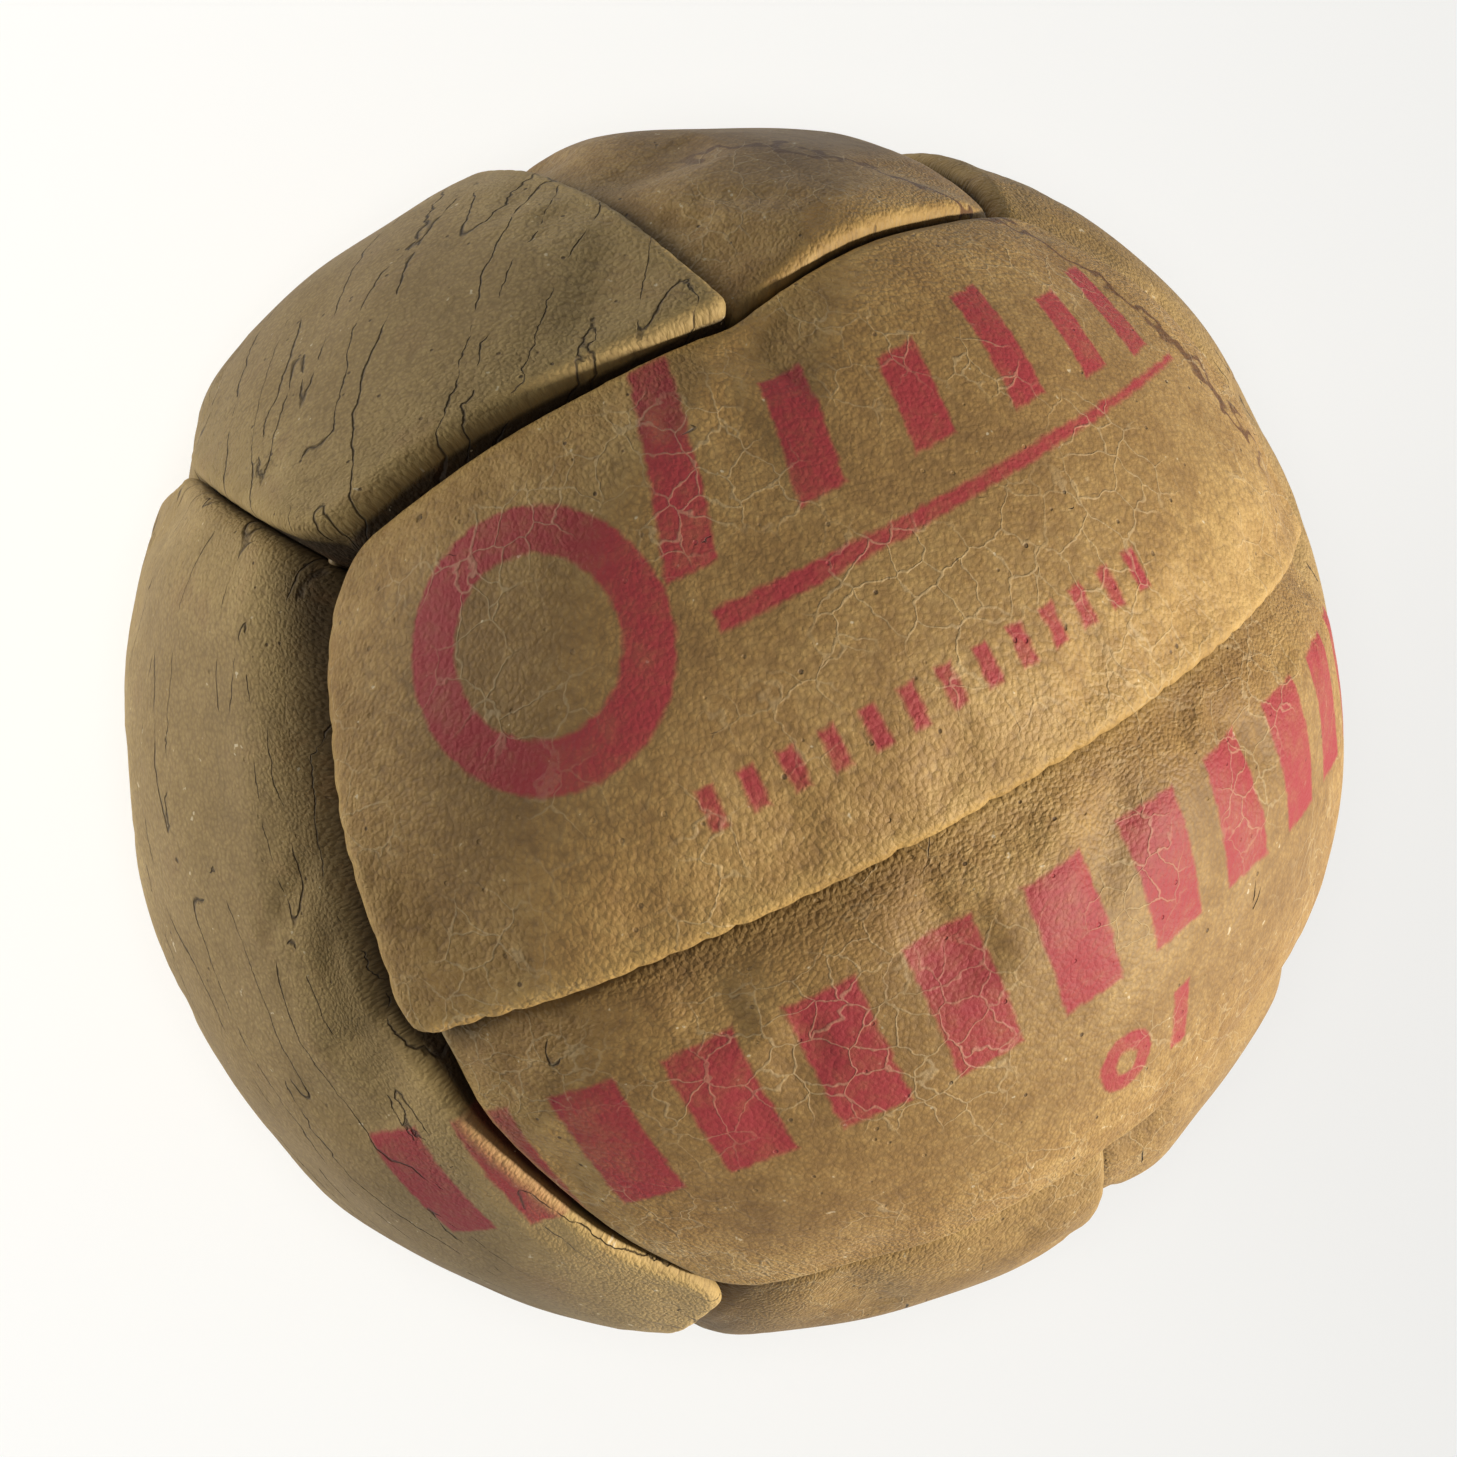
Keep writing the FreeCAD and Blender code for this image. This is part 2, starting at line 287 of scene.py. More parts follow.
def between(start, end, share):
    """Directions that lie those shares of the way along the arcs from start to end."""
    start, end = numpy.broadcast_to(start, (len(share), 3)), numpy.broadcast_to(end, (len(share), 3))
    angle = numpy.arccos(numpy.clip((start * end).sum(-1), -1, 1))[:, None]
    share = share[:, None]
    return (start * numpy.sin((1 - share) * angle) + end * numpy.sin(share * angle)) / numpy.sin(angle)


def flat_panel(name, pitch):
    """The leather as it is cut: a grid with its four corners clipped, and where each of its points belongs.

    Returns the mesh, each point's direction from the ball's centre on the crown's far panel, how far past the
    fold it lies, and its place on the flat hide.
    """
    along, along_past = steps_to_fold(panel_length, pitch)
    across, across_past = steps_to_fold(panel_width, pitch)
    bm = bmesh.new()
    bmesh.ops.create_grid(bm, x_segments=len(along) - 1, y_segments=len(across) - 1, size=1.0)
    column = [round((v.co.x + 1) / 2 * (len(along) - 1)) for v in bm.verts]
    row = [round((v.co.y + 1) / 2 * (len(across) - 1)) for v in bm.verts]
    clipped = [v for v, c, r in zip(bm.verts, column, row) if along_past[c] > 0 and across_past[r] > 0]
    kept = [i for i, (c, r) in enumerate(zip(column, row)) if not (along_past[c] > 0 and across_past[r] > 0)]
    bmesh.ops.delete(bm, geom=clipped, context="VERTS")
    mesh = bpy.data.meshes.new(name)
    bm.to_mesh(mesh)
    bm.free()
    column, row = numpy.array(column)[kept], numpy.array(row)[kept]
    s, t = along[column], across[row]
    along_past, across_past = along_past[column], across_past[row]
    near = between(corners["seam_left"], corners["seam_right"], s)
    left_half = between(corners["cube_left"], corners["tee"], numpy.clip(2 * s, 0, 1))
    right_half = between(corners["tee"], corners["cube_right"], numpy.clip(2 * s - 1, 0, 1))
    far = numpy.where(s[:, None] < 0.5, left_half, right_half)
    flat_x = (s - 0.5) * panel_length + numpy.sign(s - 0.5) * along_past
    flat_y = (t - 0.5) * panel_width + numpy.sign(t - 0.5) * across_past
    on_hide = numpy.stack((flat_x, flat_y), 1)
    return mesh, between(near, far, t), numpy.maximum(along_past, across_past), on_hide


def ease(x):
    """0 below 0, 1 above 1, and a smooth step between."""
    x = numpy.clip(x, 0, 1)
    return x * x * (3 - 2 * x)


def swell(points, size, seed, waves=20):
    """A smooth random field, about -1 to 1, whose lumps are about that size across."""
    rng = numpy.random.default_rng(seed)
    ways = rng.normal(size=(waves, 3))
    ways /= numpy.linalg.norm(ways, axis=1)[:, None]
    starts = rng.uniform(0, 2 * math.pi, waves)
    return numpy.sin(points @ ways.T * (2 * math.pi / size) + starts).sum(1) * math.sqrt(2 / waves) / 2


def packing_lumps(directions, points):
    """How far the packing has shifted outwards at each point; the sheets and the thread all follow it."""
    lumps = 0.0011 * swell(points, 0.075, 3) + 0.0004 * swell(points, 0.028, 4)
    for side, height_mm, width in (
        (camera_right * 0.64 + camera_up * 0.77, 2.6, 0.45),
        (camera_up, -2.8, 0.35),
        (camera_right * -0.87 + camera_up * 0.5, 2.0, 0.35),
        (camera_right * 0.26 + camera_up * -0.97, -1.2, 0.3),
    ):
        away = numpy.arccos(numpy.clip(directions @ numpy.array(side.normalized()), -1, 1))
        lumps = lumps + height_mm / 1000 * numpy.exp(-(away / width) ** 2)
    return lumps


def sewn(place, directions, past, inset=0.0):
    """Where the points of a panel lie once it is folded, sewn and stuffed, and how far each is from a seam.

    inset moves the whole sheet below the grain side.
    """
    radius = ball_radius - inset
    reached = {}
    for side, (axes, meeting, proud) in seams[place].items():
        inward, middle, along, half = axes
        inside = radius * numpy.arcsin(numpy.clip(directions @ inward, -1, 1))
        run = numpy.arctan2(directions @ along, directions @ middle)
        beyond = radius * numpy.maximum(numpy.abs(run) - half, 0)
        share = numpy.clip(run / half / 2 + 0.5, 0, 1)
        reached[side] = (inside, run, numpy.hypot(inside, beyond), share if proud else 1 - share)

    # How far each point is inside the rounded outline, and which way is inward.
    far_right, far_left = reached["far_right"], reached["far_left"]
    far_inside = numpy.where(
        numpy.maximum(far_right[0], far_left[0]) > 0,
        numpy.minimum(far_right[2], far_left[2]),
        numpy.maximum(far_right[0], far_left[0]),
    )
    right_is_nearer = (far_right[2] < far_left[2])[:, None]
    distance = numpy.stack((reached["near"][0], reached["right"][0], far_inside, reached["left"][0]), 1)
    ways = numpy.stack((
        numpy.broadcast_to(seams[place]["near"][0][0], directions.shape),
        numpy.broadcast_to(seams[place]["right"][0][0], directions.shape),
        numpy.where(right_is_nearer, seams[place]["far_right"][0][0], seams[place]["far_left"][0][0]),
        numpy.broadcast_to(seams[place]["left"][0][0], directions.shape),
    ), 1)
    order = numpy.argsort(distance, 1)
    rows = numpy.arange(len(directions))
    first, second = distance[rows, order[:, 0]], distance[rows, order[:, 1]]
    corner_names = list(corner_rounding)
    towards = [directions @ (turns[place] @ corners[name]) for name in corner_names]
    nearest = numpy.argmax(numpy.stack(towards, 1), 1)
    corner = numpy.array([slumped_corners.get((place, name), corner_rounding[name]) for name in corner_names])
    corner = corner[nearest]
    short_first, short_second = numpy.maximum(corner - first, 0), numpy.maximum(corner - second, 0)
    rounded = (short_first > 0) & (short_second > 0)
    from_edge = numpy.where(rounded, corner - numpy.hypot(short_first, short_second), first)
    way = ways[rows, order[:, 0]] * short_first[:, None] + ways[rows, order[:, 1]] * short_second[:, None]
    way = numpy.where(rounded[:, None], way, ways[rows, order[:, 0]])
    way = way / numpy.linalg.norm(way, axis=1)[:, None]

    # The fold, with each edge's own radius.
    weight_sum, fold = 0, 0
    for side, (inside, run, apart, share) in reached.items():
        axes, meeting, proud = seams[place][side]
        weight = 1 / (apart + 0.001) ** 4
        weight_sum = weight_sum + weight
        one_end, other_end = meeting["proud_roll" if proud else "tucked_roll"]
        fold = fold + weight * (one_end * (1 - share) + other_end * share) / 1000
    fold = numpy.maximum(fold / weight_sum - inset, 0.0020)
    rest = numpy.clip(fold - from_edge, 0, fold)
    depth = fold - numpy.sqrt(fold ** 2 - rest ** 2) + numpy.maximum(-from_edge, 0) + past
    points = directions * (radius - depth)[:, None] + way * (numpy.maximum(-from_edge, 0) + inset)[:, None]

    # Each seam's lift or dip, and how the folds lean over it or gape.
    height = numpy.linalg.norm(points, axis=1)
    crown = ease((height - (ball_radius - 0.020)) / 0.009)
    open_above = ease((height - (ball_radius - stitch_depth)) / 0.007)
    moved = points.copy()
    for side, (inside, run, apart, share) in reached.items():
        (inward, middle, along, half), meeting, proud = seams[place][side]

        def value(name):
            return (meeting[name][0] * (1 - share) + meeting[name][1] * share) / 1000

        rise = value("lift") if proud else -value("dip")
        reach = 0.016 if proud else 0.022
        moved = moved + directions * (rise * (1 - ease(apart / reach)) * crown)[:, None]
        stitch = run / stitch_turn
        pulled = 1 - numpy.abs(numpy.sin(math.pi * stitch)) ** 0.7
        close = numpy.exp(-(apart / 0.010) ** 2)
        wide = numpy.exp(-(apart / 0.016) ** 2)
        strength = (0.7 + 0.7 * swell(points, 0.012, 11)) * meeting.get("gathers", 0.4)
        drawn_in = 0.0005 * pulled * strength * numpy.exp(-(apart / 0.005) ** 2)
        sign = -1 if proud else 1
        above = ease((height + rise - (ball_radius - 0.011)) / 0.010)
        moved = moved + inward * (sign * (value("lean") * wide - drawn_in * close) * above)[:, None]
        gape = value("gape") * (0.75 + 0.25 * swell(points, 0.035, 5))
        moved = moved + inward * (gape * close * open_above)[:, None]
        sunk = 0.00018 * pulled * strength * numpy.exp(-(apart / 0.0045) ** 2)
        moved = moved - directions * (sunk * crown)[:, None]

    return moved + directions * packing_lumps(directions, points)[:, None], from_edge


def rested(points, inset=0.0):
    """The same points, with the ball's underside pressed flat where its weight rests on the floor."""
    softness = 0.0008
    above = (points[:, 2] + ball_radius - inset) / softness
    squeezed = numpy.log1p(numpy.exp(numpy.minimum(above, 20)))
    pressed = points.copy()
    pressed[:, 2] = inset - ball_radius + softness * numpy.where(above > 20, above, squeezed)
    return pressed


def swollen_by_packing():
    """How each panel swells under the packing: a cloth simulation of a coarse copy, sewn down at its margins.

    Returns each panel's movement as a grid, and the grid's places along and across the flat hide.
    """
    frames = 20
    furthest = 0.0030
    mesh, directions, past, on_hide = flat_panel("slack_panel", 0.0040)
    lines_along, lines_across = numpy.unique(on_hide[:, 0].round(6)), numpy.unique(on_hide[:, 1].round(6))
    column = numpy.searchsorted(lines_along, on_hide[:, 0].round(6))
    row = numpy.searchsorted(lines_across, on_hide[:, 1].round(6))
    trials = {}
    for place, turn in turns.items():
        points, from_edge = sewn(place, directions @ turn.T, past)
        slack = mesh.copy()
        slack.vertices.foreach_set("co", points.ravel())
        trial = bpy.data.objects.new(f"{place}_slack", slack)
        bpy.context.scene.collection.objects.link(trial)
        sewn_down = trial.vertex_groups.new(name="sewn_down")
        sewn_down.add([int(i) for i in numpy.flatnonzero((past > 0) | (from_edge < 0.001))], 1.0, "REPLACE")
        cloth = trial.modifiers.new("stuffed", "CLOTH")
        cloth.settings.quality = 6
        cloth.settings.vertex_group_mass = "sewn_down"
        cloth.settings.effector_weights.gravity = 0
        cloth.settings.use_pressure = True
        cloth.settings.uniform_pressure_force = 4
        cloth.settings.shrink_min = -0.010
        cloth.settings.tension_stiffness = 25
        cloth.settings.compression_stiffness = 25
        cloth.settings.bending_stiffness = 2.0
        cloth.settings.mass = 0.3
        cloth.collision_settings.use_collision = False
        cloth.point_cache.frame_end = frames
        trials[place] = (trial, points)
    for frame_number in range(1, frames + 1):
        bpy.context.scene.frame_set(frame_number)
    seen = bpy.context.evaluated_depsgraph_get()
    swollen = {}
    for place, (trial, points) in trials.items():
        settled = numpy.empty(points.size)
        trial.evaluated_get(seen).data.vertices.foreach_get("co", settled)
        move = settled.reshape(-1, 3) - points
        reach = numpy.linalg.norm(move, axis=1)[:, None]
        move = move * (furthest * numpy.tanh(reach / furthest) / numpy.maximum(reach, 1e-9))
        grid = numpy.zeros((len(lines_along), len(lines_across), 3))
        grid[column, row] = move
        swollen[place] = grid
        used = trial.data
        bpy.data.objects.remove(trial)
        bpy.data.meshes.remove(used)
    bpy.data.meshes.remove(mesh)
    bpy.context.scene.frame_set(1)
    return swollen, lines_along, lines_across


def read_grid(grid, lines_along, lines_across, on_hide):
    """The grid's movement at any places on the flat hide, blended between its four nearest lines."""
    x = numpy.interp(on_hide[:, 0], lines_along, numpy.arange(len(lines_along)))
    y = numpy.interp(on_hide[:, 1], lines_across, numpy.arange(len(lines_across)))
    i = numpy.minimum(x.astype(int), len(lines_along) - 2)
    j = numpy.minimum(y.astype(int), len(lines_across) - 2)
    u, v = ease(x - i)[:, None] * 0.5 + (x - i)[:, None] * 0.5, (y - j)[:, None]
    low = grid[i, j] * (1 - u) + grid[i + 1, j] * u
    high = grid[i, j + 1] * (1 - u) + grid[i + 1, j + 1] * u
    return low * (1 - v) + high * v


def stuffed(pattern, place, inset=0.0):
    """A copy of the flat panel, sewn, stuffed and at rest in that place, and how far it is from a seam."""
    flat, directions, past, on_hide = pattern
    mesh = flat.copy()
    points, from_edge = sewn(place, directions @ turns[place].T, past, inset)
    if swollen:
        move = read_grid(swollen[place], lines_along, lines_across, on_hide)
        points = points + move * ease(from_edge / 0.012)[:, None]
    mesh.vertices.foreach_set("co", rested(points, inset).ravel())
    mesh.shade_smooth()
    return mesh, from_edge


def keep(mesh, name, values):
    """Stores a number or a vector for every point of a mesh, for its material to read."""
    vectors = numpy.ndim(values) == 2
    values = values if numpy.ndim(values) else numpy.full(len(mesh.vertices), values)
    kept = mesh.attributes.new(name, "FLOAT_VECTOR" if vectors else "FLOAT", "POINT")
    kept.data.foreach_set("vector" if vectors else "value", numpy.ravel(values))


def shell(name, mesh, thickness):
    """An object in the scene that gives a sheet's mesh its thickness, inwards."""
    made = bpy.data.objects.new(name, mesh)
    bpy.context.scene.collection.objects.link(made)
    wall = made.modifiers.new("thickness", "SOLIDIFY")
    wall.thickness = thickness
    wall.offset = -1
    return made


def new_paint(name):
    """A material with its node tree and its main shader."""
    paint = bpy.data.materials.new(name)
    paint.use_nodes = True
    return paint, paint.node_tree, paint.node_tree.nodes["Principled BSDF"]


def finish_paint(tree, shader, colour, rough, height, strength, distance):
    """Links a colour and a roughness to the shader, and a height by way of a bump."""
    tree.links.new(colour, shader.inputs["Base Color"])
    tree.links.new(rough, shader.inputs["Roughness"])
    inputs = {"Height": height, "Strength": strength, "Distance": distance}
    tree.links.new(socket_of(tree, "ShaderNodeBump", inputs), shader.inputs["Normal"])


def socket_of(tree, kind, inputs=(), outputs=0, **settings):
    """Adds a shader node, fills its inputs from sockets or plain values, and gives one of its outputs."""
    made = tree.nodes.new(kind)
    for setting, value in settings.items():
        setattr(made, setting, value)
    for key, value in dict(inputs).items():
        if isinstance(value, bpy.types.NodeSocket):
            tree.links.new(value, made.inputs[key])
        else:
            made.inputs[key].default_value = value
    return made.outputs[outputs]


def tree_of(*values):
    """The node tree that the first socket among those values belongs to."""
    return next(value.id_data for value in values if isinstance(value, bpy.types.NodeSocket))


def stored(tree, name, output="Fac"):
    """What a mesh stores for each point under that name."""
    return socket_of(tree, "ShaderNodeAttribute", outputs=output, attribute_name=name)


def vector_calc(operation, first, second, output="Vector"):
    """A Vector Math node's result."""
    inputs = {0: first, 1: second}
    return socket_of(tree_of(first), "ShaderNodeVectorMath", inputs, output, operation=operation)


def parts(vector):
    """A vector's X, Y and Z."""
    split = vector.id_data.nodes.new("ShaderNodeSeparateXYZ")
    vector.id_data.links.new(vector, split.inputs[0])
    return split.outputs


def calc(operation, *values, clamp=False):
    """A Math node's result."""
    tree = tree_of(*values)
    return socket_of(tree, "ShaderNodeMath", enumerate(values), operation=operation, use_clamp=clamp)


def remap(value, low, high, to_low=0.0, to_high=1.0):
    """A smooth step of value from low to high."""
    inputs = {"Value": value, "From Min": low, "From Max": high, "To Min": to_low, "To Max": to_high}
    return socket_of(value.id_data, "ShaderNodeMapRange", inputs, interpolation_type="SMOOTHSTEP")


def blend_colour(share, under, over):
    """The colour over laid on the colour under."""
    tree = share.id_data
    mix = tree.nodes.new("ShaderNodeMix")
    mix.data_type = "RGBA"
    for name, value in (("Factor_Float", share), ("A_Color", under), ("B_Color", over)):
        slot = next(s for s in mix.inputs if s.identifier == name)
        if isinstance(value, bpy.types.NodeSocket):
            tree.links.new(value, slot)
        else:
            slot.default_value = value
    return next(s for s in mix.outputs if s.identifier == "Result_Color")


def mottle(where, size, detail=3.0, roughness=0.55):
    """Noise from 0 to 1 whose blotches are about that many metres across."""
    inputs = {"Vector": where, "Scale": 1 / size, "Detail": detail, "Roughness": roughness}
    return socket_of(where.id_data, "ShaderNodeTexNoise", inputs)


def cells(where, size, feature="F1"):
    """The distance to the middle of a random cell about that many metres across, or to its edge."""
    inputs = {"Vector": where, "Scale": 1 / size}
    return socket_of(where.id_data, "ShaderNodeTexVoronoi", inputs, "Distance", feature=feature)


def nudged(where, size, reach, detail=2.0):
    """The same place, pushed about by noise."""
    inputs = {"Vector": where, "Scale": 1 / size, "Detail": detail}
    noise = socket_of(where.id_data, "ShaderNodeTexNoise", inputs, "Color")
    centred = vector_calc("SUBTRACT", noise, (0.5, 0.5, 0.5))
    inputs = {0: centred, "Scale": reach}
    pushed = socket_of(where.id_data, "ShaderNodeVectorMath", inputs, operation="SCALE")
    return vector_calc("ADD", where, pushed)


def effect(name, inputs, outputs):
    """An empty shader node group with those sockets: the tree, its input sockets and its output node."""
    tree = bpy.data.node_groups.new(name, "ShaderNodeTree")
    for socket, kind in inputs.items():
        tree.interface.new_socket(name=socket, in_out="INPUT", socket_type=kind)
    for socket, kind in outputs.items():
        tree.interface.new_socket(name=socket, in_out="OUTPUT", socket_type=kind)
    start = tree.nodes.new("NodeGroupInput")
    return tree, start.outputs, tree.nodes.new("NodeGroupOutput")


def placed(tree, group, inputs):
    """Puts a node group into a material and gives its outputs."""
    made = tree.nodes.new("ShaderNodeGroup")
    made.node_tree = group
    for key, value in inputs.items():
        if isinstance(value, bpy.types.NodeSocket):
            tree.links.new(value, made.inputs[key])
        else:
            made.inputs[key].default_value = value
    return made.outputs


def pebbled_grain():
    """Hide grain: pebbles about a millimetre across, plump near a seam and flatter elsewhere, with pores."""
    tree, given, result = effect(
        "pebbled_grain",
        {"Vector": "NodeSocketVector", "From Seam": "NodeSocketFloat"},
        {"Height": "NodeSocketFloat", "Pores": "NodeSocketFloat"},
    )
    bent = nudged(given["Vector"], 0.0016, 0.0009, 1.0)
    pebble = calc("SUBTRACT", 1.0, cells(bent, 0.00085))
    crease = mottle(given["Vector"], 0.0005, 2.0, 0.7)
    plump = remap(given["From Seam"], 0.004, 0.026, 1.0, 0.50)
    height = calc("MULTIPLY", calc("MULTIPLY_ADD", crease, 0.7, pebble), plump)
    pores = remap(cells(given["Vector"], 0.0046), 0.045, 0.10, 1.0, 0.0)
    tree.links.new(height, result.inputs["Height"])
    tree.links.new(pores, result.inputs["Pores"])
    return tree


def dry_cracks():
    """Cracks where the hide has dried: wandering, broken lines that run along the hide."""
    tree, given, result = effect(
        "dry_cracks",
        {"Vector": "NodeSocketVector", "Width": "NodeSocketFloat", "Spread": "NodeSocketFloat"},
        {"Line": "NodeSocketFloat"},
    )
    bent = nudged(given["Vector"], 0.0050, 0.0022, 3.0)
    drawn = vector_calc("MULTIPLY", bent, (0.15, 1.0, 1.0))
    level = calc("ABSOLUTE", calc("SUBTRACT", mottle(drawn, 0.0075, 0.0), 0.5))
    patchy = mottle(given["Vector"], 0.011, 2.0)
    limit = calc("SUBTRACT", 0.71, calc("MULTIPLY", given["Spread"], 0.29))
    inputs = {"Value": patchy, "From Min": limit, "From Max": calc("ADD", limit, 0.07)}
    shown = socket_of(tree, "ShaderNodeMapRange", inputs)
    width = calc("MULTIPLY", given["Width"], calc("MULTIPLY", shown, 30.0))
    off = calc("DIVIDE", level, calc("ADD", width, 0.00001))
    line = calc("SUBTRACT", 1.0, off, clamp=True)
    tree.links.new(line, result.inputs["Line"])
    return tree


def stencil_marks():
    """Plain printed marks, stencilled over the sewn ball: a ring, slanted bars, stripes and a row of blocks.

    Its vector is metres along and across the crown's centre seam.  They are generic shapes and spell nothing.
    """
    tree, given, result = effect(
        "stencil_marks", {"Vector": "NodeSocketVector"}, {"Mask": "NodeSocketFloat"})
    x, y, z = parts(given["Vector"])

    def block(across, up, half_width, half_height, slant=0.0, taper=0.0):
        """How far outside a slanted, tapered block a point is, in metres."""
        rise = calc("SUBTRACT", y, up)
        if slant:
            rise_there = calc("MULTIPLY", rise, slant)
            shifted = calc("SUBTRACT", calc("SUBTRACT", x, across), rise_there)
        else:
            shifted = calc("SUBTRACT", x, across)
        wide = calc("SUBTRACT", calc("ABSOLUTE", shifted), half_width)
        tall = calc("SUBTRACT", calc("ABSOLUTE", rise), half_height)
        if taper:
            tall = calc("MULTIPLY_ADD", shifted, taper, tall)
        return calc("MAXIMUM", wide, tall)

    def ring(across, up, radius, half_width):
        square = calc("POWER", calc("SUBTRACT", x, across), 2.0)
        rise = calc("SUBTRACT", y, up)
        square = calc("MULTIPLY_ADD", rise, rise, square)
        off = calc("SUBTRACT", calc("SQRT", square), radius)
        return calc("SUBTRACT", calc("ABSOLUTE", off), half_width)

    # On the far panel: a ring, slanted bars of differing height, a tapering stripe and a row of small blocks.
    shapes = [ring(-0.0600, 0.0480, 0.0185, 0.0042)]
    bars = ((-0.026, 0.0190, 0.0046), (-0.003, 0.0110, 0.0046), (0.019, 0.0085, 0.0044),
            (0.041, 0.0110, 0.0040), (0.060, 0.0080, 0.0038), (0.078, 0.0095, 0.0036))
    for along_row, half_height, half_width in bars:
        foot = 0.0500 - 0.08 * abs(along_row)
        shapes.append(block(along_row, foot + half_height, half_width, half_height, 0.32))
    shapes.append(block(0.026, 0.0395, 0.058, 0.0012, 0.0, 0.012))
    step = calc("SUBTRACT", calc("PINGPONG", calc("ADD", x, 0.3), 0.0034), 0.0020)
    between_blocks = calc("SUBTRACT", 0.0, step)
    shapes.append(calc("MAXIMUM", block(-0.004, 0.0150, 0.045, 0.0034), between_blocks))
    # On the near panel, and on over the seam at its left: a row of upright blocks, and two small marks.
    upright = calc("SUBTRACT", calc("PINGPONG", calc("ADD", x, 0.4), 0.0105), 0.0062)
    shapes.append(calc("MAXIMUM", block(-0.012, -0.0310, 0.122, 0.0122), upright))
    shapes += [ring(0.003, -0.0610, 0.0046, 0.0019), block(0.018, -0.0605, 0.0022, 0.0066, 0.1)]
    nearest = shapes[0]
    for shape in shapes[1:]:
        nearest = calc("MINIMUM", nearest, shape)
    tree.links.new(remap(nearest, -0.0006, 0.0006, 1.0, 0.0), result.inputs["Mask"])
    return tree


def leather_material():
    """Old tan hide: mottled, greyer where it has dried, cracked, water-stained and printed in red."""
    paint, tree, shader = new_paint("tan_leather")
    where = socket_of(tree, "ShaderNodeTexCoord", outputs="Object")
    hide = stored(tree, "hide", "Vector")
    from_seam = stored(tree, "from_seam")
    dryness = stored(tree, "dryness")

    # The hide's own colour, from broad blotches down to fine mottling.
    broad = mottle(hide, 0.045, 2.0)
    middle = mottle(hide, 0.012, 3.0, 0.65)
    fine = mottle(hide, 0.0026, 2.0, 0.7)
    mixed = calc("ADD", calc("MULTIPLY", broad, 0.36), calc("MULTIPLY", middle, 0.32))
    mixed = calc("MULTIPLY_ADD", fine, 0.32, mixed)
    ramp = tree.nodes.new("ShaderNodeValToRGB")
    tree.links.new(mixed, ramp.inputs[0])
    stops = (
        (0.36, (0.225, 0.122, 0.038, 1)), (0.49, (0.335, 0.196, 0.062, 1)), (0.62, (0.470, 0.302, 0.108, 1)))
    ramp.color_ramp.elements.remove(ramp.color_ramp.elements[0])
    for number, (share, shade) in enumerate(stops):
        stop = ramp.color_ramp.elements[0] if number == 0 else ramp.color_ramp.elements.new(share)
        stop.position = share
        stop.color = shade
    colour = ramp.outputs["Color"]

    # Dry hide is greyer; the lips are yellower, rubbed wear plus a painted highlight of the lit lips; the
    # turned-in margins and the seam valleys are darkened with painted shade.
    # This colour is painted shade for the seam valleys.
    dirt_and_shade = (0.045, 0.026, 0.011, 1)
    colour = blend_colour(calc("MULTIPLY", dryness, 0.50), colour, (0.355, 0.285, 0.140, 1))
    # Lighter, yellower lips: partly rubbed wear, partly a painted highlight where the lips catch the light.
    lip_wear_and_painted_highlight = calc("MULTIPLY", remap(from_seam, 0.0006, 0.0060, 0.40, 0.0), middle)
    colour = blend_colour(lip_wear_and_painted_highlight, colour, (0.620, 0.420, 0.130, 1))
    # Painted shade: the turned-in margins, down inside the seam gaps, are painted nearly black.
    turned_in = remap(from_seam, -0.0012, 0.0005, 0.95, 0.0)
    colour = blend_colour(turned_in, colour, (0.032, 0.019, 0.009, 1))
    # Painted shade: the deeper a point lies below the ball's surface, in the seam valleys, the darker it is
    # painted.
    height = socket_of(tree, "ShaderNodeVectorMath", {0: where}, "Value", operation="LENGTH")
    sunk = remap(height, ball_radius - 0.0085, ball_radius - 0.0015, 0.88, 0.0)
    colour = blend_colour(sunk, colour, dirt_and_shade)

    # Brown blotches a few millimetres across, dark pores and pale specks.
    blotch = remap(middle, 0.54, 0.72, 0.0, 0.26)
    colour = blend_colour(blotch, colour, (0.205, 0.095, 0.030, 1))
    grain = placed(tree, grain_group, {"Vector": hide, "From Seam": from_seam})
    pores = calc("MULTIPLY", grain["Pores"], remap(broad, 0.42, 0.56, 0.0, 0.8))
    colour = blend_colour(pores, colour, (0.055, 0.032, 0.018, 1))
    hollows = remap(grain["Height"], 0.20, 0.80, 0.46, 0.0)
    colour = blend_colour(hollows, colour, (0.120, 0.070, 0.032, 1))
    speck = remap(fine, 0.715, 0.75, 0.0, 0.55)
    colour = blend_colour(speck, colour, (0.680, 0.590, 0.420, 1))

    # A water stain's brown tide line, which wanders down the crown's right-hand seam.
    plane = tuple(seams["crown_far"]["right"][0][0])
    wandering = nudged(where, 0.0050, 0.020, 1.0)
    off_line = vector_calc("DOT_PRODUCT", wandering, plane, "Value")
    off_line = calc("SUBTRACT", off_line, 0.0125)
    line = remap(calc("ABSOLUTE", off_line), 0.0006, 0.0022, 1.0, 0.0)
    corner = tuple(turns["crown_far"] @ corners["cube_right"] * ball_radius)
    from_corner = vector_calc("DISTANCE", where, corner, "Value")
    line = calc("MULTIPLY", line, remap(from_corner, 0.058, 0.070, 0.95, 0.0))
    colour = blend_colour(line, colour, (0.120, 0.052, 0.016, 1))

